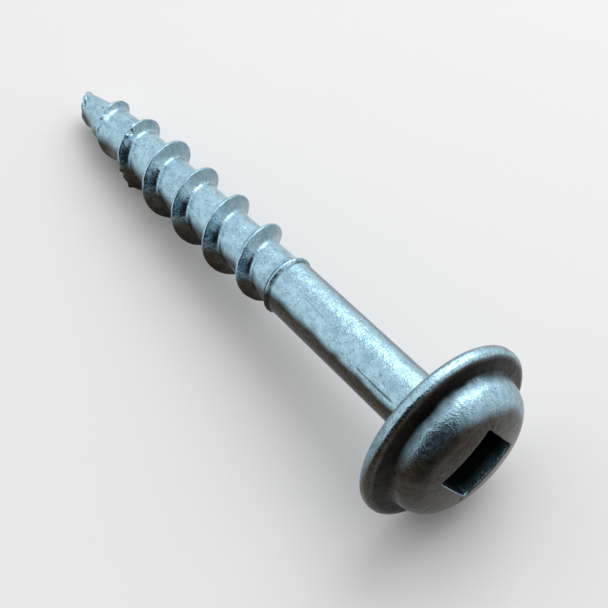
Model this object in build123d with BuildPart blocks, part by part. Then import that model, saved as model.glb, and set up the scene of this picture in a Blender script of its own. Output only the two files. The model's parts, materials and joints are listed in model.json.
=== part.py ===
"""Pocket screw: washer head with a square recess, plain shank, coarse thread and a blunt auger point.

The screw lies on its side with its head towards +X, resting on the flange's rim and on one crest of the
thread, and the origin is the centre of the flange's underside. A station is a distance along the screw,
from that underside towards the tip, and a turn is a direction round it, in degrees from straight up,
right-handed towards the tip. The whole screw is one cold-headed, thread-rolled piece of steel wire.
"""

import math
import os

from build123d import *

# ---- driving dimensions, in millimetres and degrees ----
screw_length = 30.0  # from the flange's underside to the middle of the blunt end
thread_length = 19.55  # the rest is the shank
shank_diameter = 2.83
under_head_fillet = 0.3

flange_diameter = 9.0
flange_rim_height = 0.60
flange_edge_radius = 0.26
dome_diameter = 7.05
dome_base_height = 0.87  # the top of the flange climbs from its rim to here
dome_root_radius = 0.15
dome_draft = 10.0
dome_shoulder_radius = 1.3
dome_crown_radius = 10.0
head_height = 2.63

recess_width = 2.95  # across the flats at the mouth, for a number 2 square driver
recess_depth = 1.95
recess_wall_taper = 2.0
recess_floor_depth = 0.4  # the punched floor sinks this much more towards the middle
recess_floor_taper = 60.0
recess_turn = 14.96  # the direction of one corner

thread_pitch = 2.8
thread_diameter = 3.86
root_diameter = 2.56
ridge_rise_length = 2.45  # the ridge grows out of the shank over this length
ridge_start_turn = 24.4  # the turn of its crest where it starts
crest_flat = 0.13
leading_flank = 0.46  # both flanks are measured along the screw
trailing_flank = 0.30
ridge_sink = 0.30  # how far the ridge's foot goes into the core
ridge_start_sink = 0.05  # how far the crest starts below the shank's surface
loft_steps = 8
rest_steps = 48  # the crest's line is tried at this many places a turn for where it touches the ground
crease_depth = 0.05  # a crease closes the shank, and past it the rolled wire stands up in a bead
bead_height = 0.09
bead_rise = 0.25
bead_length = 0.75
bead_sink = 0.12
thread_lean = 0.8  # the threaded length has bent this much off the shank's line
thread_lean_turn = -116.0
bend_back_length = 9.0  # over this length the point bends back the other way
bend_back = 0.65

point_length = 6.0  # over this length the point's core narrows, along an arc
end_diameter = 1.24
end_slant = 32.0
end_slant_turn = 64.0  # the longer side of the slanted end
crest_taper_length = 7.0  # over this length the crest comes in on a straight taper
crest_taper = 6.8
ridge_end_gap = 1.1  # the ridge ends this far from the tip
ridge_fade_length = 0.9  # and sinks into the core over the last of its length
ridge_end_sink = 0.2
least_ridge_size = 0.3
point_sections = 5

slot_length = 5.25  # the auger cut runs from behind one crest, through the next and out at the tip
slot_width = 0.9
slot_run_in = 0.2
slot_turn = -35.0
slot_turn_gap = 1.5  # it passes that turn this far from the tip
slot_skew = 13.0
slot_start_radius = 1.16
slot_end_radius = 0.45

# ---- values worked out from them ----
flange_radius = flange_diameter / 2
shank_radius = shank_diameter / 2
root_radius = root_diameter / 2
crest_radius = thread_diameter / 2
thread_height = crest_radius - root_radius
clear_radius = crest_radius + 1

thread_station = screw_length - thread_length
full_thread_station = thread_station + ridge_rise_length
bend_back_station = screw_length - bend_back_length
crest_taper_station = screw_length - crest_taper_length
ridge_end_station = screw_length - ridge_end_gap
ridge_fade_station = ridge_end_station - ridge_fade_length
ridge_marks = [thread_station, full_thread_station, crest_taper_station, ridge_fade_station]
ridge_marks.append(ridge_end_station)

# The point's outline is an arc that leaves the core's side without a corner.
point_station = screw_length - point_length
point_drop = root_radius - end_diameter / 2
point_arc_radius = (point_length**2 + point_drop**2) / (2 * point_drop)
uncut_end_station = screw_length + crest_radius * math.tan(math.radians(end_slant)) / 2

# The crown and the shoulder of the dome are arcs that meet without a corner.
shoulder_reach = dome_shoulder_radius * math.cos(math.radians(dome_draft))
crown_share = (dome_diameter / 2 - shoulder_reach) / (dome_crown_radius - dome_shoulder_radius)
crown_span = math.degrees(math.asin(crown_share))


def core_reach(station):
    """The radius of the core at a station."""
    past = max(0.0, station - point_station)
    return root_radius - point_arc_radius + math.sqrt(point_arc_radius**2 - past**2)


def crest_reach(station):
    """The radius of the thread's crest at a station: it rises out of the shank and comes in at the point."""
    risen = (station - thread_station) / (full_thread_station - thread_station)
    if risen < 1:
        start_radius = shank_radius - ridge_start_sink
        return start_radius + (crest_radius - start_radius) * risen
    past = max(0.0, station - crest_taper_station)
    tapered = crest_radius - past * math.tan(math.radians(crest_taper))
    faded = max(0.0, (station - ridge_fade_station) / (ridge_end_station - ridge_fade_station))
    return tapered + (core_reach(station) - ridge_end_sink - tapered) * faded


def crest_turn(station):
    """The turn at which the crest passes a station."""
    return ridge_start_turn + 360 * (station - thread_station) / thread_pitch


def bent_back(station):
    """How far the point's middle stands off the thread's straight line, against its lean."""
    return max(0.0, station - bend_back_station) * math.tan(math.radians(bend_back))


def rest_angle():
    """The slope at which the screw lies, on the rounded edge of its flange and on the lowest of its crest."""
    lean_share = math.cos(math.radians(thread_lean_turn))
    droop = math.radians(thread_lean) * lean_share
    slopes = []
    for step in range(round((ridge_end_station - full_thread_station) / thread_pitch * rest_steps)):
        station = full_thread_station + step * thread_pitch / rest_steps
        turn = math.radians(crest_turn(station))
        below = -crest_reach(station) * math.cos(turn) - droop * (station - thread_station)
        below += bent_back(station) * lean_share
        drop = flange_radius - flange_edge_radius - below
        run = station + flange_edge_radius
        edge_share = flange_edge_radius / math.hypot(drop, run)
        slopes.append(math.atan2(drop, run) + math.asin(edge_share))
    return min(slopes)


def round_direction(plane, turn):
    """The direction square to the plane's normal at this turn."""
    angle = math.radians(turn)
    return plane.x_dir * math.cos(angle) + plane.y_dir * math.sin(angle)


def lengthwise(plane, turn, skew=0.0):
    """The plane along the plane's normal in which x points out at this turn and y runs to the tip, skewed."""
    out = round_direction(plane, turn)
    angle = math.radians(skew)
    along = plane.z_dir * math.cos(angle) + out.cross(plane.z_dir) * math.sin(angle)
    return Plane(origin=plane.origin, x_dir=out, z_dir=out.cross(along))


# The seat is the flange's underside: its normal runs to the tip and its x axis points up.
tilt = rest_angle()
to_tip = Vector(-math.cos(tilt), 0, -math.sin(tilt))
straight_up = Vector(-math.sin(tilt), 0, math.cos(tilt))
seat = Plane(origin=(0, 0, 0), x_dir=straight_up, z_dir=to_tip)
screw_line = Axis(seat.origin, seat.z_dir)

# The thread's own frame starts at the end of the shank and leans off the shank's line.
lean = math.radians(thread_lean)
thread_dir = to_tip * math.cos(lean) + round_direction(seat, thread_lean_turn) * math.sin(lean)
thread_up = straight_up - thread_dir * straight_up.dot(thread_dir)
thread_frame = Plane(seat.offset(thread_station).origin, x_dir=thread_up, z_dir=thread_dir)

recess_corner_dir = round_direction(seat, recess_turn - 45)
recess_mouth = Plane(seat.offset(-head_height).origin, x_dir=recess_corner_dir, z_dir=to_tip)
recess_floor_width = recess_width - 2 * recess_depth * math.tan(math.radians(recess_wall_taper))

slot_middle = thread_frame.offset(thread_length - slot_turn_gap)
slot_side = lengthwise(slot_middle, slot_turn, slot_skew)
end_lean = math.radians(end_slant)
end_dir = thread_dir * math.cos(end_lean)
end_dir -= round_direction(thread_frame, end_slant_turn) * math.sin(end_lean)
end_cut = Plane(thread_frame.offset(thread_length).origin, z_dir=end_dir)


def level(station):
    """The plane square to the thread's line at a station, centred on the core."""
    plane = thread_frame.offset(station - thread_station)
    middle = plane.origin - round_direction(plane, thread_lean_turn) * bent_back(station)
    return Plane(origin=middle, x_dir=plane.x_dir, z_dir=plane.z_dir)


def ridge_section(station):
    """The ridge cut lengthwise: a narrow crest, a steep flank to the head and a longer one to the tip."""
    reach = crest_reach(station)
    size = max((reach - core_reach(station)) / thread_height, least_ridge_size)
    foot_reach = reach - (thread_height + ridge_sink) * size
    spread = (thread_height + ridge_sink) / thread_height * size
    half_crest = crest_flat * size / 2
    with BuildSketch(lengthwise(level(station), crest_turn(station))) as section:
        with BuildLine():
            Polyline(
                (foot_reach, -half_crest - trailing_flank * spread),
                (reach, -half_crest),
                (reach, half_crest),
                (foot_reach, half_crest + leading_flank * spread),
                close=True,
            )
        make_face()
    return section.sketch.face()


def core_section(station):
    """The core cut square to the thread's line."""
    with BuildSketch(level(station)) as section:
        Circle(core_reach(station))
    return section.sketch.face()


with BuildPart() as pocket_screw:
    # The head, the shank and the bead are turned about the screw's own line.
    with BuildSketch(lengthwise(seat, 0)):
        with BuildLine():
            crown = JernArc((0, -head_height), (1, 0), dome_crown_radius, crown_span)
            shoulder_span = 90 - dome_draft - crown_span
            shoulder = JernArc(crown @ 1, crown % 1, dome_shoulder_radius, shoulder_span)
            side_height = -dome_base_height - (shoulder @ 1).Y
            dome_base_radius = (shoulder @ 1).X + side_height * math.tan(math.radians(dome_draft))
            outline = FilletPolyline(
                shoulder @ 1,
                (dome_base_radius, -dome_base_height),
                (flange_radius, -flange_rim_height),
                (flange_radius, 0),
                (shank_radius, 0),
                (shank_radius, thread_station - crease_depth),
                radius=[dome_root_radius, flange_edge_radius, flange_edge_radius, under_head_fillet],
            )
            crease = Line(outline @ 1, (shank_radius - crease_depth, thread_station))
            bead_end = thread_station + bead_length
            Polyline(
                crease @ 1,
                (shank_radius + bead_height, thread_station + bead_rise),
                (root_radius - bead_sink, bead_end),
                (0, bead_end),
                crown @ 0,
            )
        make_face()
    revolve(axis=screw_line)

    # The core is a straight rod as far as the bend, and narrows from there in a loft through its circles.
    with BuildSketch(thread_frame.offset(-shank_radius)):
        Circle(root_radius)
    extrude(amount=bend_back_station - thread_station + shank_radius)
    point_step = (uncut_end_station - bend_back_station) / point_sections
    circles = []
    for step in range(point_sections + 1):
        circles.append(core_section(bend_back_station + point_step * step))
    loft(circles)

    # The ridge winds round the core in lofts of a turn or less, which end where its crest's outline turns.
    for first, last in zip(ridge_marks, ridge_marks[1:]):
        lofts = math.ceil((last - first) / thread_pitch)
        for loft_number in range(lofts):
            sections = []
            for step in range(loft_steps + 1):
                share = (loft_number + step / loft_steps) / lofts
                sections.append(ridge_section(first + (last - first) * share))
            loft(sections)

    # The end is cut off on a slant.
    split(bisect_by=end_cut, keep=Keep.BOTTOM)

    # The auger slot starts across the crests and gets deeper towards the end.
    with BuildSketch(slot_side):
        with BuildLine():
            slot_top = slot_turn_gap - slot_length
            slot_end = slot_turn_gap + uncut_end_station - screw_length
            slot_floor = FilletPolyline(
                (clear_radius, slot_top - slot_run_in),
                (slot_start_radius, slot_top),
                (slot_end_radius, slot_end),
                radius=slot_run_in,
            )
            Polyline(slot_floor @ 1, (clear_radius, slot_end), slot_floor @ 0)
        make_face()
    extrude(amount=slot_width / 2, both=True, mode=Mode.SUBTRACT)

    # The square recess draws in towards its floor, which is sunk in the middle.
    with BuildSketch(recess_mouth):
        Rectangle(recess_width, recess_width)
    extrude(amount=recess_depth, taper=recess_wall_taper, mode=Mode.SUBTRACT)
    with BuildSketch(recess_mouth.offset(recess_depth)):
        Rectangle(recess_floor_width, recess_floor_width)
    extrude(amount=recess_floor_depth, taper=recess_floor_taper, mode=Mode.SUBTRACT)

pocket_screw.part.label = "pocket_screw"
os.makedirs("parts", exist_ok=True)
export_step(pocket_screw.part, "parts/pocket_screw.step")
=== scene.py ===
"""Pocket screw on a pale studio floor: a finer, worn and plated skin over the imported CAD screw."""

import json
import math

import bpy
import numpy as np
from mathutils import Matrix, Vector, noise


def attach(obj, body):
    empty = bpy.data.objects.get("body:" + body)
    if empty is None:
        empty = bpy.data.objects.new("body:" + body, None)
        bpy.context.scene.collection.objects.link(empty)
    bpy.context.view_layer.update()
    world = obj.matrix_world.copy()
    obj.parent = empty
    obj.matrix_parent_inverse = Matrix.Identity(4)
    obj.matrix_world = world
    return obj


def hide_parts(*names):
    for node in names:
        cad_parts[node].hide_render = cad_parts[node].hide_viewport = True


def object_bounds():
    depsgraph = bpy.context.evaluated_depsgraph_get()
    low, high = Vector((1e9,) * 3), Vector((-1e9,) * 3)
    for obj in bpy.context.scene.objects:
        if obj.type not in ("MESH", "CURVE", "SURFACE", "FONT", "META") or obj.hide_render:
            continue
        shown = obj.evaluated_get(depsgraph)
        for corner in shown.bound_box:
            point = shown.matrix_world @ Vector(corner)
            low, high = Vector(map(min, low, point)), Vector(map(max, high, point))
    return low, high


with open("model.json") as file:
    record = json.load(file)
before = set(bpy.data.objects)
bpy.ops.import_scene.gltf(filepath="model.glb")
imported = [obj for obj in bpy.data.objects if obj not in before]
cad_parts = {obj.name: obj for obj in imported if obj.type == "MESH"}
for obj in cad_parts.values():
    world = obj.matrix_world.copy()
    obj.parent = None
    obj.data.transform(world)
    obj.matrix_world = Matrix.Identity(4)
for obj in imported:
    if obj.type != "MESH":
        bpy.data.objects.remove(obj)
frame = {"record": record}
cad_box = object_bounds()

MM = 0.001

# ---- the screw's driving dimensions, in millimetres and degrees, as in the CAD model ----
shank_radius = 1.415
under_head_fillet = 0.3
flange_radius = 4.5
flange_rim_height = 0.60
flange_edge_radius = 0.26
dome_radius = 3.525
dome_base_height = 0.87
dome_root_radius = 0.15
dome_draft = 10.0
dome_shoulder_radius = 1.3
dome_crown_radius = 10.0
head_height = 2.63

recess_width = 2.95
recess_depth = 1.95
recess_wall_taper = 2.0
recess_floor_depth = 0.4
recess_floor_share = 0.35  # the flat middle of the sunk floor, as a share of its width
recess_turn = 14.96
recess_corner_power = 22.0  # the higher, the sharper the recess's corners
recess_edge_radius = 0.07

thread_station = 10.45
thread_pitch = 2.8
crest_radius = 1.93
root_radius = 1.28
full_thread_station = 12.9
ridge_start_turn = 24.4
crest_flat = 0.13
leading_flank = 0.46
trailing_flank = 0.30
ridge_start_sink = 0.05
crease_depth = 0.05
bend_back_station = 21.0
bend_back = 0.65
point_station = 24.0
end_station = 30.0
end_radius = 0.62
end_slant = 32.0
end_slant_turn = 64.0
crest_taper_station = 23.0
crest_taper = 6.8
ridge_fade_station = 28.0
ridge_end_station = 28.9
ridge_end_sink = 0.2

lean_start = thread_station - 0.3  # from here to there the shank's line passes over to the thread's
lean_stop = thread_station + 0.5

# ---- the auger cut, in finer curves than the CAD model's ----
slot_station = 24.75  # it starts here, behind one crest
slot_run_in = 0.2
slot_stations = (24.7, 25.2, 26.4, 26.88, 27.3, 28.3, 30.0)  # and winds back round the core
slot_turns = (2.0, -5.0, -24.0, -30.0, -33.0, -40.0, -47.0)
slot_floors = (1.22, 1.40, 1.40, 1.30, 1.40, 0.98, 0.40)
slot_widths = (0.44, 0.44, 0.30, 0.30, 0.40, 0.50, 0.70)
slot_corner_blend = 0.06
slot_edge_blend = 0.04
slot_facing = 0.1  # it only cuts where the cosine of the turn from its middle is above this
least_slope = 0.05  # keeps its floor and walls finite

# ---- how the rolling, cutting and use have left the metal, in millimetres and degrees ----
crease_length = 0.1
bead_height = 0.12
bead_rise = 0.16
bead_length = 0.75
bead_drop = 0.132  # the surface drops by this just past the bead's top
bead_lean = 0.25  # the bead lies nearer the tip on one side
bead_lean_turn = 64.0
faint_ridge_station = 11.02  # a second, faint lip past the bead
faint_ridge_height = 0.02
faint_ridge_width = 0.07

trailing_blend = 0.36  # the rolled thread's feet run into the core in wide hollows
leading_blend = 0.12
blend_change = 0.1  # the one hollow passes over to the other this close to the crest
full_blend_height = 0.4  # a lower ridge has narrower hollows
least_blend_share = 0.15
point_blend = 0.8  # and near the point they are wider
bulge_rise = (25.2, 25.7)  # where the crest passes here, its trailing flank is a wide bulge
bulge_fall = (26.6, 26.95)
bulge_flank = 0.55
crest_edge_round = 0.03
crest_waver = 0.015
waver_parts = ((0.7, 0.11, 3), (0.3, 0.02, 4))  # a share, the length of a step and a seed of each
point_crest_shift = 0.07  # near the point the crest stands further out on one side
point_crest_turn = 64.5
point_shift_run = 1.0
ragged_knots = 2048  # enough of the shortest steps for the screw's whole length

# Damage along the crest: where it passes this station, half a length, a depth and a jaggedness.
crest_chips = [
    (12.80, 0.10, 0.07, 0.9),
    (15.62, 0.03, 0.03, 0.5),
    (17.30, 0.05, 0.03, 0.6),
    (20.95, 0.04, 0.04, 0.5),
    (22.12, 0.05, 0.03, 0.6),
    (23.56, 0.20, 0.25, 0.95),
    (24.15, 0.05, 0.28, 0.1),
]
chip_step = 0.034
chip_seed = 5
# Burrs on the crest: where it passes this station, half their length and how far they stand out.
crest_burrs = [(23.29, 0.035, 0.14), (23.45, 0.02, 0.08), (26.60, 0.05, 0.05)]
burr_thickness = 0.12
end_round = 0.07  # the rim of the slanted end is rounded by this
# Chips in that rim: a turn, half a width in degrees and a depth along the screw.
end_chips = [(-45.0, 9.0, 0.20), (-88.0, 12.0, 0.14), (-5.0, 14.0, 0.10), (150.0, 20.0, 0.08)]

# Strokes on the surface: a station and a turn at each end, half a width, a depth and a darkness.
# Those on the head have a radius at each end too. A stroke with a negative depth stands out, and
# one without a depth only darkens the colour there.
body_strokes = [
    ((4.12, -50.0), (3.06, -50.7), 0.030, 0.020, 0.9),
    ((3.06, -50.7), (1.78, -50.4), 0.038, 0.028, 1.0),
    ((4.20, -51.0), (3.60, -40.0), 0.025, 0.010, 0.6),
    ((3.10, -28.0), (2.98, -28.0), 0.030, 0.015, 0.8),
    ((2.62, -36.0), (2.55, -36.0), 0.030, 0.015, 0.7),
    ((5.80, 18.0), (4.60, 15.0), 0.022, 0.008, 0.4),
    ((8.60, -20.0), (7.10, -24.0), 0.022, 0.008, 0.4),
    ((9.70, -10.0), (9.20, 4.0), 0.022, 0.010, 0.5),
    ((24.62, 13.0), (24.66, -6.0), 0.060, 0.110, 1.0),
    ((24.38, 1.0), (24.20, -8.0), 0.090, -0.120, 0.0),
    ((27.25, -75.0), (27.60, -120.0), 0.450, -0.130, 0.0),
    ((24.00, -24.0), (24.05, -17.0), 0.080, -0.110, 0.0),
    ((27.78, -4.0), (27.70, -9.0), 0.060, 0.050, 0.8),
    ((28.30, 4.0), (28.24, -2.0), 0.060, -0.030, 0.0),
    ((28.40, 62.0), (29.80, 62.0), 0.400, 0.160, 0.0),
    ((28.75, -112.0), (29.15, -106.0), 0.340, -0.190, 0.0),
    ((30.12, 32.0), (30.05, 12.0), 0.200, -0.050, 0.0),
    ((29.70, -14.0), (29.52, -26.0), 0.080, -0.100, 0.0),
    ((29.50, -36.0), (29.30, -44.0), 0.080, 0.110, 0.8),
    ((29.42, -54.0), (29.34, -66.0), 0.080, -0.100, 0.0),
]
head_strokes = [
    ((-2.45, 20.0, 1.98), (-2.25, 12.5, 2.70), 0.032, 0.022, 0.6),
    ((-2.25, 12.5, 2.70), (-1.93, 11.5, 3.19), 0.045, -0.030, 0.0),
    ((-2.00, 4.0, 3.10), (-1.85, 18.0, 3.28), 0.045, -0.024, 0.0),
    ((-2.37, -160.0, 2.16), (-2.28, -163.0, 2.06), 0.070, -0.060, 0.0),
    ((-0.89, -72.8, 3.61), (-1.41, -69.5, 3.49), 0.030, 0.018, 0.9),
    ((-1.41, -69.5, 3.49), (-1.50, -67.0, 3.46), 0.050, 0.020, 0.9),
    ((-2.42, -79.0, 2.03), (-2.50, -120.0, 1.55), 0.035, -0.012, 0.0),
    ((-1.92, -64.0, 3.00), (-1.94, -46.0, 3.00), 0.400, 0.0, 0.75),
    ((-1.96, -42.0, 2.98), (-1.98, -26.0, 2.92), 0.400, 0.0, 0.75),
    ((-2.36, -38.0, 2.25), (-2.38, -16.0, 2.25), 0.340, 0.0, 0.45),
]

# The surface is a little uneven, and more so along the thread.
lump_layers = ((0.7, 0.55, 3.1), (0.4, 0.25, 7.7))  # a share, a size and a seed of each
lump_height = 0.004
lump_growth = 0.004
lump_growth_run = 1.0

# ---- painted shade in the hollows, and painted dark reflection in the groove round the dome: a share of it, and how it fades ----
# painted dark reflection and shade in the groove between the dome and the flange's rim
groove_painted_shade = 1.0
groove_inner_fade = (3.48, 3.60)  # radii
groove_outer_fade = (4.16, 4.30)
groove_cover = 0.92  # the groove's painted shade varies a little about this
groove_unevenness = 0.2
groove_patch_size = 0.5
groove_seed = 4.4
# painted shade in the crease at the shank's end
crease_painted_shade = 0.8
crease_painted_shade_width = 0.05
# painted shade at the foot of the thread's trailing flank
foot_painted_shade = 0.15
foot_painted_shade_offset = 0.06  # beyond the foot of the trailing flank, which faces the head
foot_painted_shade_width = 0.07
foot_painted_shade_run = 1.5  # it comes in along this length, before the thread is full
painted_shade_patch_size = 0.6
painted_shade_patch_seed = 1.3
# painted shade deep in the auger cut
slot_painted_shade = 0.35
slot_painted_shade_fade = (0.02, 0.12)  # depths in the auger cut
slot_unshaded_length = 0.5  # next to the end
# painted shade deep in the recess
recess_painted_shade = 0.93
recess_painted_shade_fade = (recess_edge_radius, 0.55)  # depths below the mouth
recess_reach_share = 0.75  # a radius beyond the recess's corners, as a share of its width

# ---- where dark reflection and shade are painted into the plating's colour ----
painted_shade_share = 0.98
painted_shade_seed = 6.2
painted_shade_turn = -126.0  # the side of the shank where dark reflection and shade are painted
shank_painted_shade_edge = (0.27, 0.52)  # cosines of the way round from that side
thread_painted_shade_edge = (0.35, 0.80)
body_painted_shade_waver = 0.07
body_painted_shade_size = 0.7
head_painted_shade_way = (0.70, -0.53, -0.48)  # the way that the head's painted dark reflection and shade face
head_painted_shade_edge = (0.06, 0.46)
head_painted_shade_waver = 0.1
head_painted_shade_size = 1.1
head_lit_way = (0.45, -0.05, 0.89)  # all but what faces this way gets painted shade
head_lit_edge = (0.5, 0.85)
head_painted_shade_level = 0.5
flank_painted_shade = 0.35  # painted shade on the flanks that face the head, on one side
flank_facing_edge = (0.4, 0.8)
flank_painted_shade_turn = 60.0
flank_painted_shade_edge = (0.1, 0.7)
painted_band_turn = -2.0  # painted darker bands along the shank, a painted reflection
painted_band_width = 12.0
painted_band_share = 0.12
painted_margin_share = 0.6
painted_margin_rise = (33.0, 45.0)  # turns
painted_margin_fall = (80.0, 120.0)
thread_run = 0.5  # the shank's grain and painted shade pass over to the thread's along this length
thread_grain = 0.4  # the thread's grain is shallower than the shank's

# ---- the plating's colours and markings, whose ranges are of the noise that makes them ----
zinc_dark = (0.25, 0.41, 0.51)
zinc_bright = (0.37, 0.58, 0.69)
zinc_frost = (0.66, 0.83, 0.90)
zinc_pit = (0.10, 0.13, 0.15)
# the darkest colour, for the strokes' dark marks and the painted shade in hollows
marks_and_shade_colour = (0.008, 0.007, 0.006)
# the colour of the painted dark reflection and shade
painted_shade_colour = (0.038, 0.029, 0.018)
mottle_size = 0.34
mottle_range = (0.3, 0.7)
patch_size = 1.5
patch_range = (0.42, 0.62)
grain_size = 0.07
speck_range = (0.56, 0.66)
pit_size = 0.10
pit_range = (0.38, 0.28)
frost_share = 0.75
pit_share = 0.6
painted_shade_mottle_range = (0.2, 0.7)
painted_shade_mottle_levels = (0.92, 1.04)
roughness_levels = (0.26, 0.15)
frost_roughness = 0.1
marks_and_shade_roughness = 0.25
mottle_relief = 0.035
grain_relief = 0.020

# ---- the fineness of the mesh ----
columns = 200
ring_step = 0.18
arc_step = 12.0
row_step = 0.09
crest_row_step = 0.02
row_growth = 1.3
recess_floor_rings = 7
recess_wall_rings = 9
recess_wall_shares = (0.08, 0.9)
recess_edge_rings = 6
mouth_shares = (0.15, 0.35, 0.6, 0.8)
mouth_blend_radius = 2.45  # the rings have turned from square to round here
centre_shares = (0.25, 0.5, 0.75)  # the rings in the middle of the recess's floor and of the end
end_rows = 10
end_rows_length = 2 * end_round
helix_stop = 2.5 * end_round  # the helix's rows stop this far from the end
helix_spins = np.arange(-4, 12)  # more turns of the helix than any column crosses
shank_end = thread_station - 1.5 * crease_length  # the rings stop here, and the helix's rows start


# ---- the screw's frames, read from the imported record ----
mounts = {mount["name"]: mount for mount in frame["record"]["mounts"]}


def unit(vector):
    return vector / np.linalg.norm(vector)


def axes_along(direction):
    """Straight up and sideways, square to this direction."""
    up = np.array([0.0, 0.0, 1.0])
    up = unit(up - direction * direction[2])
    return up, np.cross(direction, up)


seat = np.array(mounts["under_head"]["pos_m"]) / MM
to_tip = unit(np.array(mounts["under_head"]["axis"]))
shank_up, shank_side = axes_along(to_tip)
thread_origin = np.array(mounts["thread"]["pos_m"]) / MM
thread_dir = unit(np.array(mounts["thread"]["axis"]))
thread_up, thread_side = axes_along(thread_dir)
lean_side = unit(thread_dir - to_tip * thread_dir.dot(to_tip))


# ---- the curves that the shapes and the wear are made of ----
def ragged(along, step, seed):
    """A jagged line between -1 and 1 along a length, the same in every run."""
    knots = np.random.default_rng(seed).uniform(-1.0, 1.0, ragged_knots)
    return np.interp(np.asarray(along) / step, np.arange(ragged_knots), knots)


def bell(off, half_width):
    """A smooth hump, 1 in its middle."""
    return np.exp(-((off / half_width) ** 2))


def smooth_step(value, low, high):
    """From 0 at the low value to 1 at the high one, without a corner."""
    share = np.clip((value - low) / (high - low), 0.0, 1.0)
    return share * share * (3 - 2 * share)


def smooth_max(a, b, blend):
    """The larger of two, rounded where they meet."""
    share = np.clip(0.5 + 0.5 * (a - b) / blend, 0.0, 1.0)
    return b + (a - b) * share + blend * share * (1 - share)


def smooth_min(a, b, blend):
    return -smooth_max(-a, -b, blend)


def cos_deg(turn):
    return np.cos(np.radians(turn))


def half_circle(turn):
    """The same turn, between -180 and 180 degrees."""
    return (turn + 180) % 360 - 180


def place(station, turn, radius):
    """Points in the world, in millimetres, from the screw's own coordinates."""
    angle = np.radians(turn)[..., None]
    station = np.asarray(station)[..., None]
    radius = np.asarray(radius)[..., None]
    around_shank = shank_up * np.cos(angle) + shank_side * np.sin(angle)
    on_shank = seat + to_tip * station + around_shank * radius
    past = station - thread_station
    back = np.maximum(0.0, station - bend_back_station) * math.tan(math.radians(bend_back))
    around_thread = thread_up * np.cos(angle) + thread_side * np.sin(angle)
    middle = thread_origin + thread_dir * past - lean_side * back
    on_thread = middle + around_thread * radius
    share = smooth_step(station, lean_start, lean_stop)
    return on_shank * (1 - share) + on_thread * share


# ---- the shape, as a radius at each station and turn ----
point_length = end_station - point_station
point_drop = root_radius - end_radius
point_arc_radius = (point_length**2 + point_drop**2) / (2 * point_drop)
thread_height = crest_radius - root_radius


def core_reach(station):
    past = np.maximum(0.0, station - point_station)
    return root_radius - point_arc_radius + np.sqrt(point_arc_radius**2 - past**2)


def bead_shift(turn):
    """How much nearer the tip the leaning bead lies on this side."""
    return bead_lean * (0.5 + 0.5 * cos_deg(turn - bead_lean_turn))


def bead_reach(station):
    """The crease at the shank's end, and past it the rolled bead that falls away to the core."""
    past = station - thread_station
    creased = shank_radius - crease_depth * smooth_step(past, -crease_length, 0.0)
    top = shank_radius + bead_height
    rise = smooth_step(past, 0.0, bead_rise)
    drop = bead_drop * smooth_step(past, bead_rise, 2 * bead_rise)
    slope = (top - bead_drop - root_radius) * smooth_step(past, bead_rise, bead_length)
    faint = faint_ridge_height * bell(station - faint_ridge_station, faint_ridge_width)
    return creased + (top - creased) * rise - drop - slope + faint


def crest_turn(station):
    return ridge_start_turn + 360 * (station - thread_station) / thread_pitch


def crest_reach(station):
    risen = (station - thread_station) / (full_thread_station - thread_station)
    start_radius = shank_radius - ridge_start_sink
    rising = start_radius + (crest_radius - start_radius) * np.clip(risen, -1.0, 1.0)
    past = np.maximum(0.0, station - crest_taper_station)
    tapered = rising - past * math.tan(math.radians(crest_taper))
    fade_length = ridge_end_station - ridge_fade_station
    faded = np.maximum(0.0, (station - ridge_fade_station) / fade_length)
    return tapered + (core_reach(station) - ridge_end_sink - tapered) * faded


def crest_shift(passing):
    """How far the whole crest stands out, on one side near the point."""
    near_point = smooth_step(passing, bend_back_station, bend_back_station + point_shift_run)
    near_point = near_point * (1 - smooth_step(passing, ridge_fade_station, ridge_end_station))
    return point_crest_shift * near_point * cos_deg(crest_turn(passing) - point_crest_turn)


def crest_cut(passing):
    """How much is lost from the top of the crest where it passes this station."""
    waver = 1.0
    for share, step, seed in waver_parts:
        waver = waver + share * ragged(passing, step, seed)
    cut = crest_waver * waver
    tear = 0.5 + 0.5 * ragged(passing, chip_step, chip_seed)
    for station, half_length, depth, jaggedness in crest_chips:
        inside = np.exp(-(((passing - station) / half_length) ** 4))
        cut = cut + depth * inside * (1 - jaggedness * tear)
    return cut


def crest_burr(passing):
    """How far a burr stands out of the crest where it passes this station."""
    return sum(height * bell(passing - station, half) for station, half, height in crest_burrs)


def off_crest(station, turn):
    """How far a place lies from the nearest turn of the crest, tipwards positive."""
    off = station - thread_station - thread_pitch * (turn - ridge_start_turn) / 360
    return (off + thread_pitch / 2) % thread_pitch - thread_pitch / 2


def slot_reach(station, turn):
    """The auger cut, as a radius on its floor and walls."""
    middle = np.interp(station, slot_stations, slot_turns)
    floor = np.interp(station, slot_stations, slot_floors)
    floor = floor + np.maximum(0.0, slot_station - station) / slot_run_in
    angle = np.radians(half_circle(turn - middle))
    flat = floor / np.maximum(np.cos(angle), least_slope)
    width = np.interp(station, slot_stations, slot_widths)
    wall = width / 2 / np.maximum(np.abs(np.sin(angle)), least_slope)
    cut = smooth_max(flat, wall, slot_corner_blend)
    return np.where(np.cos(angle) > slot_facing, cut, 2 * crest_radius)


def hollow_blend(station, off, height):
    """How wide the hollow is between a flank and the core."""
    trailing = smooth_step(-off, -blend_change, blend_change)
    blend = leading_blend + (trailing_blend - leading_blend) * trailing
    blend = blend * np.clip(height / full_blend_height, least_blend_share, 1.0)
    return blend * (1 + point_blend * smooth_step(station, crest_taper_station, ridge_fade_station))


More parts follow.
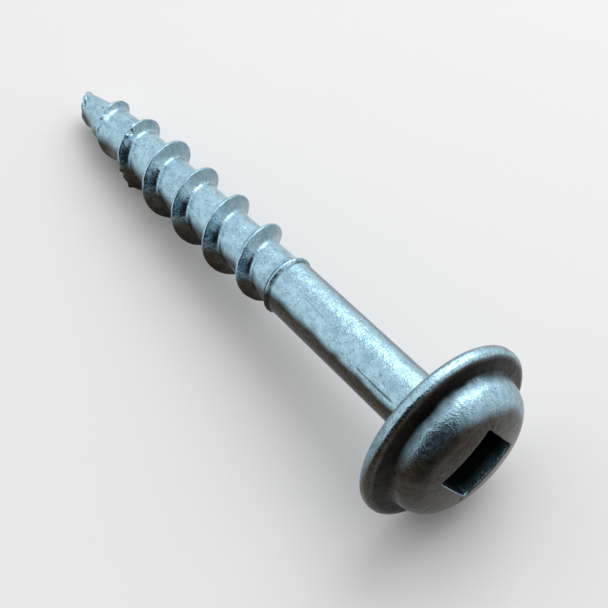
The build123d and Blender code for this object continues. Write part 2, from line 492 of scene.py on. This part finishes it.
def reach_without_slot(station, turn):
    """The radius of the threaded part before the auger cut."""
    leaning = station - bead_shift(turn)
    on_bead = leaning < thread_station + bead_length
    base = np.where(on_bead, bead_reach(leaning), core_reach(station))
    off = off_crest(station, turn)
    passing = station - off
    crest = crest_reach(station) + crest_shift(passing)
    beside = np.maximum(0.0, np.abs(off) - crest_flat / 2 + crest_edge_round)
    beside = np.hypot(beside, crest_edge_round) - crest_edge_round
    bulge = smooth_step(passing, *bulge_rise) * (1 - smooth_step(passing, *bulge_fall))
    flank = np.where(off > 0, leading_flank, trailing_flank + bulge_flank * bulge)
    ridge = crest - beside * thread_height / flank
    ridge = smooth_min(ridge, crest - crest_cut(passing), crest_edge_round)
    ridge = ridge + crest_burr(passing) * bell(off, burr_thickness)
    return smooth_max(base, ridge, hollow_blend(station, off, crest - base))


def reach(station, turn):
    return smooth_min(reach_without_slot(station, turn), slot_reach(station, turn), slot_edge_blend)


# ---- the head's outline, from the recess to the shank ----
def arc_points(centre, radius, start, stop):
    """Points on an arc, its ends included, with angles in degrees from the outward direction."""
    count = max(2, math.ceil(abs(stop - start) / arc_step)) + 1
    angles = np.radians(np.linspace(start, stop, count))
    return [(centre[0] + radius * math.cos(a), centre[1] + radius * math.sin(a)) for a in angles]


def rounded(points, radii):
    """A path through these points with its inner corners rounded."""
    path = [np.array(points[0])]
    for before, corner, after, radius in zip(points, points[1:], points[2:], radii):
        corner = np.array(corner)
        back = unit(np.array(before) - corner)
        on = unit(np.array(after) - corner)
        half = math.acos(np.clip(back.dot(on), -1.0, 1.0)) / 2
        centre = corner + unit(back + on) * radius / math.sin(half)
        first = corner + back * radius / math.tan(half) - centre
        last = corner + on * radius / math.tan(half) - centre
        start = math.degrees(math.atan2(first[1], first[0]))
        stop = math.degrees(math.atan2(last[1], last[0]))
        stop = start + half_circle(stop - start)
        path += [np.array(p) for p in arc_points(centre, radius, start, stop)]
    path.append(np.array(points[-1]))
    return path


def filled(path, step):
    """The same path with its long straight stretches divided."""
    points = [path[0]]
    for before, after in zip(path, path[1:]):
        count = max(1, math.ceil(np.linalg.norm(after - before) / step))
        points += [before + (after - before) * (k + 1) / count for k in range(count)]
    return points


shoulder_reach = dome_shoulder_radius * math.cos(math.radians(dome_draft))
shoulder_arm = dome_crown_radius - dome_shoulder_radius  # from the crown's centre to the shoulder's
crown_share = (dome_radius - shoulder_reach) / shoulder_arm
crown_span = math.degrees(math.asin(crown_share))
crown_centre = (0.0, dome_crown_radius - head_height)
shoulder_centre = (
    shoulder_arm * crown_share,
    crown_centre[1] - shoulder_arm * math.cos(math.radians(crown_span)),
)


def crown_station(radius):
    return crown_centre[1] - np.sqrt(dome_crown_radius**2 - radius**2)


def head_outline():
    """Radius and station from outside the recess's mouth, over the rim, to the end of the shank."""
    start = -90 + math.degrees(math.asin(mouth_blend_radius / dome_crown_radius))
    crown = arc_points(crown_centre, dome_crown_radius, start, -90 + crown_span)
    shoulder = arc_points(shoulder_centre, dome_shoulder_radius, -90 + crown_span, -dome_draft)
    foot = shoulder[-1]
    side = -dome_base_height - foot[1]
    base_radius = foot[0] + side * math.tan(math.radians(dome_draft))
    corners = [
        foot,
        (base_radius, -dome_base_height),
        (flange_radius, -flange_rim_height),
        (flange_radius, 0.0),
        (shank_radius, 0.0),
        (shank_radius, shank_end),
    ]
    radii = [dome_root_radius, flange_edge_radius, flange_edge_radius, under_head_fillet]
    path = [np.array(p) for p in crown[:-1] + shoulder[:-1]] + rounded(corners, radii)
    return filled(path, ring_step)


def square_reach(turn, half_width):
    """The distance to the square recess's wall, with its corners a little rounded."""
    angle = np.radians(turn - recess_turn + 45)
    power = recess_corner_power
    spread = np.abs(np.cos(angle)) ** power + np.abs(np.sin(angle)) ** power
    return half_width * spread ** (-1 / power)


# ---- the mesh ----
turns = recess_turn + 360 * np.arange(columns) / columns


def recess_rings():
    """The rings from the middle of the recess's floor to the crown."""
    half = recess_width / 2
    floor_half = half - recess_depth * math.tan(math.radians(recess_wall_taper))
    floor_station = -head_height + recess_depth
    rings = []
    for share in centre_shares:
        radius = square_reach(turns, floor_half * recess_floor_share) * share
        rings.append((radius, np.full(columns, floor_station + recess_floor_depth)))
    for share in np.linspace(0, 1, recess_floor_rings):
        size = floor_half * (recess_floor_share + (1 - recess_floor_share) * share)
        station = floor_station + recess_floor_depth * (1 - share)
        rings.append((square_reach(turns, size), np.full(columns, station)))
    mouth_station = crown_station(square_reach(turns, half))
    for share in np.linspace(*recess_wall_shares, recess_wall_rings):
        size = floor_half + (half - floor_half) * share
        station = floor_station + (mouth_station - floor_station) * share
        rings.append((square_reach(turns, size), station))
    for angle in np.radians(np.linspace(0, 90, recess_edge_rings)):
        out = recess_edge_radius * (1 - math.cos(angle))
        drop = recess_edge_radius * (1 - math.sin(angle))
        radius = square_reach(turns, half + out)
        rings.append((radius, crown_station(radius) + drop))
    edge = square_reach(turns, half + recess_edge_radius)
    for share in mouth_shares:
        radius = edge + (mouth_blend_radius - edge) * share
        rings.append((radius, crown_station(radius)))
    return rings


def row_offsets():
    """Where the rows of the threaded mesh lie, off the crest, closest together along its edges."""
    offsets = [0.0]
    step = crest_row_step
    while offsets[-1] < thread_pitch / 2:
        offsets.append(offsets[-1] + step)
        if offsets[-1] > crest_flat / 2 + 2 * crest_row_step:
            step = min(step * row_growth, row_step)
    half = np.array(offsets[:-1]) * (thread_pitch / 2) / offsets[-1]
    return np.concatenate([-half[:0:-1], half])


def end_stations(radius):
    """Where the slanted end cuts the side at each column."""
    slope = math.tan(math.radians(end_slant))
    cut = end_station + radius * slope * cos_deg(turns - end_slant_turn)
    for turn, half_width, depth in end_chips:
        cut = cut - depth * radius / end_radius * bell(half_circle(turns - turn), half_width)
    return cut


class Skin:
    """The vertices and triangles of the whole screw."""

    def __init__(self):
        self.coordinates = []
        self.faces = []
        self.count = 0

    def add(self, station, turn, radius):
        """Adds vertices by the screw's own coordinates, and gives their numbers."""
        first = self.count
        self.coordinates.append(np.stack(np.broadcast_arrays(station, turn, radius), axis=-1))
        self.count += len(self.coordinates[-1])
        return list(range(first, self.count))

    def join_rings(self, before, after):
        for k in range(columns):
            n = (k + 1) % columns
            self.faces.append((before[k], after[n], after[k]))
            self.faces.append((before[k], before[n], after[n]))

    def join_columns(self, left, left_level, right, right_level):
        """Triangles between two neighbouring columns, whose rows follow the helix."""
        i = j = 0
        while i < len(left) - 1 or j < len(right) - 1:
            go_left = j == len(right) - 1
            if i < len(left) - 1 and not go_left:
                go_left = left_level[i + 1] + left_level[i] < right_level[j + 1] + right_level[j]
            if go_left:
                self.faces.append((left[i], right[j], left[i + 1]))
                i += 1
            else:
                self.faces.append((left[i], right[j], right[j + 1]))
                j += 1


def add_head(skin):
    """Rings from the middle of the recess's floor to the end of the shank. Gives the last one."""
    pole = skin.add([-head_height + recess_depth + recess_floor_depth], [0.0], [0.0])[0]
    last = None
    for radius, station in recess_rings() + head_outline():
        ring = skin.add(station, turns, radius)
        if last is None:
            for k in range(columns):
                skin.faces.append((pole, ring[(k + 1) % columns], ring[k]))
        else:
            skin.join_rings(last, ring)
        last = ring
    return last


def add_thread(skin, first_ring):
    """Columns of rows that follow the helix. Gives each one's last vertex, and its radius there."""
    ends = end_stations(reach(end_stations(np.full(columns, end_radius)), turns))
    spins = helix_spins[:, None] * thread_pitch
    offsets = row_offsets()
    column_ids, column_levels, end_reach = [], [], []
    # each column has its own stations, where the rows of the helix cross it
    for k in range(columns):
        shift = thread_pitch * turns[k] / 360
        crossing = thread_station - thread_pitch * ridge_start_turn / 360 + shift
        stations = np.sort((crossing + spins + offsets).ravel())
        keep = (stations > shank_end + crest_row_step) & (stations < ends[k] - helix_stop)
        near_end = np.linspace(ends[k] - end_rows_length, ends[k], end_rows)
        stations = np.concatenate([stations[keep], near_end])
        rim = np.clip((stations - ends[k] + end_round) / end_round, 0.0, 1.0)
        radius = reach(stations, turns[k]) - end_round * (1 - np.sqrt(1 - rim**2))
        end_reach.append(radius[-1])
        column_ids.append([first_ring[k]] + skin.add(stations, turns[k], radius))
        column_levels.append(np.concatenate([[shank_end], stations]) - shift)
    for k in range(columns):
        n = (k + 1) % columns
        wrap = thread_pitch if n == 0 else 0.0
        skin.join_columns(column_ids[k], column_levels[k], column_ids[n], column_levels[n] - wrap)
    return [ids[-1] for ids in column_ids], np.array(end_reach)


def build_skin():
    skin = Skin()
    ring, end_reach = add_thread(skin, add_head(skin))
    for share in reversed(centre_shares):
        radius = end_reach * share
        cap = skin.add(end_stations(radius), turns, radius)
        skin.join_rings(ring, cap)
        ring = cap
    tip = skin.add([end_station], [0.0], [0.0])[0]
    for k in range(columns):
        skin.faces.append((ring[k], ring[(k + 1) % columns], tip))
    return skin


# ---- the relief, the dirt and the tarnish on that skin ----
def surface_radius(station, turn):
    return float(np.where(station > thread_station, reach(station, turn), shank_radius))


def stroke_ends():
    """Both ends of every stroke as points in millimetres, with its width, depth and darkness."""
    strokes = []
    for first, last, width, depth, dark in body_strokes:
        ends = [place(np.array(s), np.array(t), surface_radius(s, t)) for s, t in (first, last)]
        strokes.append((*ends, width, depth, dark))
    for first, last, width, depth, dark in head_strokes:
        ends = [place(np.array(s), np.array(t), r) for s, t, r in (first, last)]
        strokes.append((*ends, width, depth, dark))
    return strokes


def lumps(own, size, seed):
    """Smooth noise from -1 to 1 over the screw's own coordinates."""
    shifted = own / size + seed
    return np.array([noise.noise(Vector(p)) for p in shifted.tolist()])


def relief(points, station, own):
    """How far each point is pushed out, and how dark the strokes make it."""
    growth = smooth_step(station, thread_station, thread_station + lump_growth_run)
    uneven = sum(share * lumps(own, size, seed) for share, size, seed in lump_layers)
    push = (lump_height + lump_growth * growth) * uneven
    dark_share = np.zeros(len(points))
    for first, last, width, depth, dark in stroke_ends():
        line = last - first
        share = np.clip((points - first).dot(line) / line.dot(line), 0.0, 1.0)
        near = bell(np.linalg.norm(points - first - share[:, None] * line, axis=1), width)
        push = push - depth * near
        dark_share = np.maximum(dark_share, dark * near)
    return push, dark_share


def painted_hollow_shade(station, turn, radius, own):
    """Painted dark reflection and shade round the dome, and painted shade in the crease, at the
    thread's foot, in the auger cut and the recess.
    """
    # painted dark reflection and shade in the groove round the dome
    groove = smooth_step(radius, *groove_inner_fade) * (1 - smooth_step(radius, *groove_outer_fade))
    uneven = groove_cover + groove_unevenness * lumps(own, groove_patch_size, groove_seed)
    groove = groove * (station < -flange_rim_height / 2) * uneven
    crease = bell(station - bead_shift(turn) - thread_station, crease_painted_shade_width)

    patchy = 0.5 + 0.5 * lumps(own, painted_shade_patch_size, painted_shade_patch_seed)
    foot = off_crest(station, turn) + crest_flat / 2 + trailing_flank + foot_painted_shade_offset
    foot = bell(foot, foot_painted_shade_width) * (station > thread_station) * patchy
    foot = foot * smooth_step(station, full_thread_station - foot_painted_shade_run, full_thread_station)
    slotted = smooth_step(reach_without_slot(station, turn) - radius, *slot_painted_shade_fade) * patchy
    slotted = slotted * (station > slot_station - slot_run_in)
    slotted = slotted * (station < end_station - slot_unshaded_length)

    mouth = crown_station(np.minimum(radius, dome_radius))
    recessed = smooth_step(station - mouth, *recess_painted_shade_fade)
    recessed = recessed * (radius < recess_width * recess_reach_share) * (station < 0)
    return np.maximum.reduce([
        groove_painted_shade * groove,
        crease_painted_shade * crease,
        foot_painted_shade * foot,
        slot_painted_shade * slotted,
        recess_painted_shade * recessed,
    ])


def painted_shade_on(normals, station, turn, own, threaded):
    """How much painted dark reflection and shade each place gets: the lower sides, bands along the
    shank, some flanks and all of the head but its top.
    """
    # painted dark reflection along the shank's and thread's lower side
    low, high = (a + (b - a) * threaded for a, b in zip(shank_painted_shade_edge, thread_painted_shade_edge))
    uneven = body_painted_shade_waver * lumps(own, body_painted_shade_size, painted_shade_seed)
    on_body = smooth_step(cos_deg(turn - painted_shade_turn) + uneven, low, high)
    # painted darker bands along the shank, a painted reflection
    around = half_circle(turn)
    margin = smooth_step(around, *painted_margin_rise) * (1 - smooth_step(around, *painted_margin_fall))
    band = painted_band_share * bell(around - painted_band_turn, painted_band_width)
    band = np.maximum(band, painted_margin_share * margin) * (1 - threaded)
    # painted shade on the flanks that face the head, on one side
    flank = smooth_step(normals.dot(-to_tip), *flank_facing_edge)
    flank = flank * smooth_step(cos_deg(turn - flank_painted_shade_turn), *flank_painted_shade_edge)
    on_body = np.maximum.reduce([on_body, band, flank_painted_shade * flank])

    # painted dark reflection on the head's lower side
    uneven = head_painted_shade_waver * lumps(own, head_painted_shade_size, painted_shade_seed)
    on_head = smooth_step(normals.dot(head_painted_shade_way) + uneven, *head_painted_shade_edge)
    # painted shade over all of the head but its top
    head_painted_shade = head_painted_shade_level * (1 - smooth_step(normals.dot(head_lit_way), *head_lit_edge))
    on_head = np.maximum(on_head, head_painted_shade)
    return painted_shade_share * np.where(station < under_head_fillet, on_head, on_body)


def make_screw():
    skin = build_skin()
    station, turn, radius = np.concatenate(skin.coordinates).T
    points = place(station, turn, radius)
    angle = np.radians(turn)
    own = np.stack([station, radius * np.cos(angle), radius * np.sin(angle)], axis=-1)
    mesh = bpy.data.meshes.new("zinc_screw")
    mesh.from_pydata((points * MM).tolist(), [], skin.faces)
    mesh.update()
    normals = np.empty(len(mesh.vertices) * 3)
    mesh.vertex_normals.foreach_get("vector", normals)
    normals = normals.reshape(-1, 3)

    push, marks_and_shade = relief(points, station, own)
    # the strokes' dark marks, and the painted shade and dark reflection in the hollows, make one
    # darkening
    marks_and_shade = np.maximum(marks_and_shade, painted_hollow_shade(station, turn, radius, own))
    threaded = smooth_step(station, thread_station, thread_station + thread_run)
    levels = {
        "marks_and_shade": np.clip(marks_and_shade, 0.0, 1.0),
        "painted_shade": painted_shade_on(normals, station, turn, own, threaded),
        "grain": 1 + (thread_grain - 1) * threaded,
    }
    points = points + normals * push[:, None]
    mesh.vertices.foreach_set("co", (points * MM).ravel())
    mesh.validate()
    mesh.polygons.foreach_set("use_smooth", [True] * len(mesh.polygons))
    screw_place = mesh.attributes.new("screw_place", "FLOAT_VECTOR", "POINT")
    screw_place.data.foreach_set("vector", own.ravel())
    for name, level in levels.items():
        mesh.attributes.new(name, "FLOAT", "POINT").data.foreach_set("value", level)
    screw = bpy.data.objects.new("zinc_screw", mesh)
    bpy.context.collection.objects.link(screw)
    return screw


screw = make_screw()


# ---- the nodes that the plating and the sky share ----
def smooth_range(tree, value, between, levels):
    """A value taken smoothly from one range to another."""
    node = tree.nodes.new("ShaderNodeMapRange")
    node.interpolation_type = "SMOOTHSTEP"
    names = ("From Min", "From Max", "To Min", "To Max")
    for name, limit in zip(names, (*between, *levels)):
        node.inputs[name].default_value = limit
    tree.links.new(value, node.inputs["Value"])
    return node.outputs["Result"]


def combine(tree, operation, first, second):
    """Two values combined, each a number or another node's result."""
    node = tree.nodes.new("ShaderNodeMath")
    node.operation = operation
    for socket, value in zip(node.inputs, (first, second)):
        if isinstance(value, float):
            socket.default_value = value
        else:
            tree.links.new(value, socket)
    return node.outputs["Value"]


# ---- the plating ----
class Surface:
    """A material under construction, over the screw's own coordinates in millimetres."""

    def __init__(self, name):
        self.material = bpy.data.materials.new(name)
        self.material.use_nodes = True
        self.tree = self.material.node_tree
        self.nodes = self.tree.nodes
        self.links = self.tree.links
        self.shader = self.nodes["Principled BSDF"]
        place_node = self.nodes.new("ShaderNodeAttribute")
        place_node.attribute_name = "screw_place"
        self.place = place_node.outputs["Vector"]

    def attribute(self, name):
        node = self.nodes.new("ShaderNodeAttribute")
        node.attribute_name = name
        return node.outputs["Fac"]

    def noise(self, size, stretch, detail, roughness, shift):
        """Noise of this size in millimetres, stretched along the screw."""
        mapping = self.nodes.new("ShaderNodeMapping")
        mapping.inputs["Location"].default_value = (shift, shift, shift)
        mapping.inputs["Scale"].default_value = (1 / (size * stretch), 1 / size, 1 / size)
        self.links.new(self.place, mapping.inputs["Vector"])
        texture = self.nodes.new("ShaderNodeTexNoise")
        texture.inputs["Scale"].default_value = 1.0
        texture.inputs["Detail"].default_value = detail
        texture.inputs["Roughness"].default_value = roughness
        self.links.new(mapping.outputs["Vector"], texture.inputs["Vector"])
        return texture.outputs["Fac"]

    def spread(self, value, between, levels=(0.0, 1.0)):
        return smooth_range(self.tree, value, between, levels)

    def add(self, first, second):
        return combine(self.tree, "ADD", first, second)

    def times(self, first, second):
        return combine(self.tree, "MULTIPLY", first, second)

    def mix(self, share, first, second):
        """A colour between two, each a colour or another node's result."""
        node = self.nodes.new("ShaderNodeMix")
        node.data_type = "RGBA"
        self.links.new(share, node.inputs["Factor"])
        colours = [socket for socket in node.inputs if socket.type == "RGBA"]
        for socket, value in zip(colours, (first, second)):
            if isinstance(value, tuple):
                socket.default_value = (*value, 1.0)
            else:
                self.links.new(value, socket)
        return next(socket for socket in node.outputs if socket.type == "RGBA")

    def bump(self, height, distance, below=None):
        node = self.nodes.new("ShaderNodeBump")
        node.inputs["Strength"].default_value = 1.0
        node.inputs["Distance"].default_value = distance * MM
        self.links.new(height, node.inputs["Height"])
        if below is not None:
            self.links.new(below, node.inputs["Normal"])
        return node.outputs["Normal"]


def zinc():
    """Bright zinc plating, mottled and pitted, with frosted specks and dark marks, and with painted
    dark reflection and shade.
    """
    surface = Surface("zinc_plating")
    shader, links = surface.shader, surface.links
    mottle = surface.noise(mottle_size, stretch=1.4, detail=3.0, roughness=0.6, shift=0.0)
    patch = surface.noise(patch_size, stretch=1.6, detail=2.0, roughness=0.5, shift=5.0)
    grain = surface.noise(grain_size, stretch=1.3, detail=2.0, roughness=0.6, shift=9.0)
    pits = surface.noise(pit_size, stretch=1.0, detail=1.0, roughness=0.5, shift=3.0)
    frosted = surface.times(surface.spread(grain, speck_range), surface.spread(patch, patch_range))
    pitted = surface.times(surface.spread(pits, pit_range), pit_share)
    uneven = surface.spread(mottle, painted_shade_mottle_range, painted_shade_mottle_levels)
    painted_shade = surface.times(surface.attribute("painted_shade"), uneven)
    marks_and_shade = surface.attribute("marks_and_shade")

    colour = surface.mix(surface.spread(mottle, mottle_range), zinc_dark, zinc_bright)
    colour = surface.mix(surface.times(frosted, frost_share), colour, zinc_frost)
    colour = surface.mix(pitted, colour, zinc_pit)
    # painted dark reflection and shade on the lower sides, bands and flanks
    colour = surface.mix(painted_shade, colour, painted_shade_colour)
    # darkened by the strokes' marks and by painted shade in hollows
    colour = surface.mix(marks_and_shade, colour, marks_and_shade_colour)
    links.new(colour, shader.inputs["Base Color"])

    rough = surface.spread(mottle, mottle_range, roughness_levels)
    rough = surface.add(rough, surface.times(frosted, frost_roughness))
    rough = surface.add(rough, surface.times(marks_and_shade, marks_and_shade_roughness))
    links.new(rough, shader.inputs["Roughness"])
    shader.inputs["Metallic"].default_value = 1.0

    coarse = surface.bump(mottle, mottle_relief)
    fine = surface.times(grain, surface.attribute("grain"))
    links.new(surface.bump(fine, grain_relief, coarse), shader.inputs["Normal"])
    return surface.material


screw.data.materials.append(zinc())
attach(screw, "root")
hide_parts("pocket_screw")

# ---- the studio, in metres ----
floor_height = cad_box[0][2]
floor_size = 6.0  # wide enough to reach the horizon in every view
floor_colour = (0.76, 0.76, 0.76, 1)
floor_roughness = 0.9

# The key light stands behind the screw, so that its shadow falls towards the camera.
key_azimuth = 108.0
key_elevation = 50.0
key_distance = 0.20
key_size = 0.16
key_power = 0.18

# The sky is brightest round one direction, and dark round another, behind the camera.
sky_way = (-0.75, 0.35, 0.55)
sky_range = (-0.8, 0.45)
sky_levels = (0.6, 1.1)
dark_way = (0.67, -0.54, 0.51)
dark_range = (0.64, 0.83)
dark_levels = (1.0, 0.02)
horizon_range = (0.035, 0.12)  # the dark part ends above the horizon
horizon_levels = (1.0, 0.0)


def make_floor():
    mesh = bpy.data.meshes.new("floor")
    h = floor_size / 2
    corners = [(-h, -h, 0), (h, -h, 0), (h, h, 0), (-h, h, 0)]
    mesh.from_pydata(corners, [], [(0, 1, 2, 3)])
    floor = bpy.data.objects.new("floor", mesh)
    floor.location = (0, 0, floor_height)
    bpy.context.collection.objects.link(floor)
    material = bpy.data.materials.new("pale_floor")
    material.use_nodes = True
    shader = material.node_tree.nodes["Principled BSDF"]
    shader.inputs["Base Color"].default_value = floor_colour
    shader.inputs["Roughness"].default_value = floor_roughness
    mesh.materials.append(material)
    return floor


make_floor()


def add_key_light():
    azimuth = math.radians(key_azimuth)
    elevation = math.radians(key_elevation)
    flat = math.cos(elevation)
    way = Vector((math.cos(azimuth) * flat, math.sin(azimuth) * flat, math.sin(elevation)))
    middle = (cad_box[0] + cad_box[1]) / 2
    location = middle + way * key_distance
    data = bpy.data.lights.new("key", "AREA")
    data.shape = "RECTANGLE"
    data.size = key_size
    data.size_y = key_size
    data.energy = key_power
    lamp = bpy.data.objects.new("key", data)
    lamp.location = location
    lamp.rotation_euler = Vector(middle - location).to_track_quat("-Z", "Y").to_euler()
    bpy.context.collection.objects.link(lamp)


add_key_light()


def make_sky():
    world = bpy.data.worlds.new("studio")
    bpy.context.scene.world = world
    world.use_nodes = True
    tree = world.node_tree
    view = tree.nodes.new("ShaderNodeTexCoord").outputs["Generated"]

    def level(direction, between, levels):
        """A brightness that changes smoothly with how near the view is to a direction."""
        near = tree.nodes.new("ShaderNodeVectorMath")
        near.operation = "DOT_PRODUCT"
        near.inputs[1].default_value = direction
        tree.links.new(view, near.inputs[0])
        return smooth_range(tree, near.outputs["Value"], between, levels)

    sky = level(sky_way, sky_range, sky_levels)
    dark = level(dark_way, dark_range, dark_levels)
    horizon = level((0, 0, 1), horizon_range, horizon_levels)
    light = combine(tree, "MULTIPLY", sky, combine(tree, "MAXIMUM", dark, horizon))
    background = tree.nodes["Background"]
    tree.links.new(light, background.inputs["Strength"])
    background.inputs["Color"].default_value = (1, 1, 1, 1)


make_sky()

# ---- the camera, placed in millimetres from the middle of the flange's underside ----
camera_azimuth = 52.34
camera_elevation = 54.02
camera_offset = Vector((14.06, -18.10, 39.53))
camera_lens = 62.23
camera_sensor = 36.0
camera_clip_start = 0.001

camera_data = bpy.data.cameras.new("camera")
camera_data.sensor_width = camera_sensor
camera_data.lens = camera_lens
camera_data.clip_start = camera_clip_start
camera = bpy.data.objects.new("camera", camera_data)
camera.location = (Vector(seat) + camera_offset) * MM
camera.rotation_euler = (math.radians(90 - camera_elevation), 0, math.radians(camera_azimuth))
bpy.context.collection.objects.link(camera)
bpy.context.scene.camera = camera

bpy.context.scene.view_settings.view_transform = "Standard"
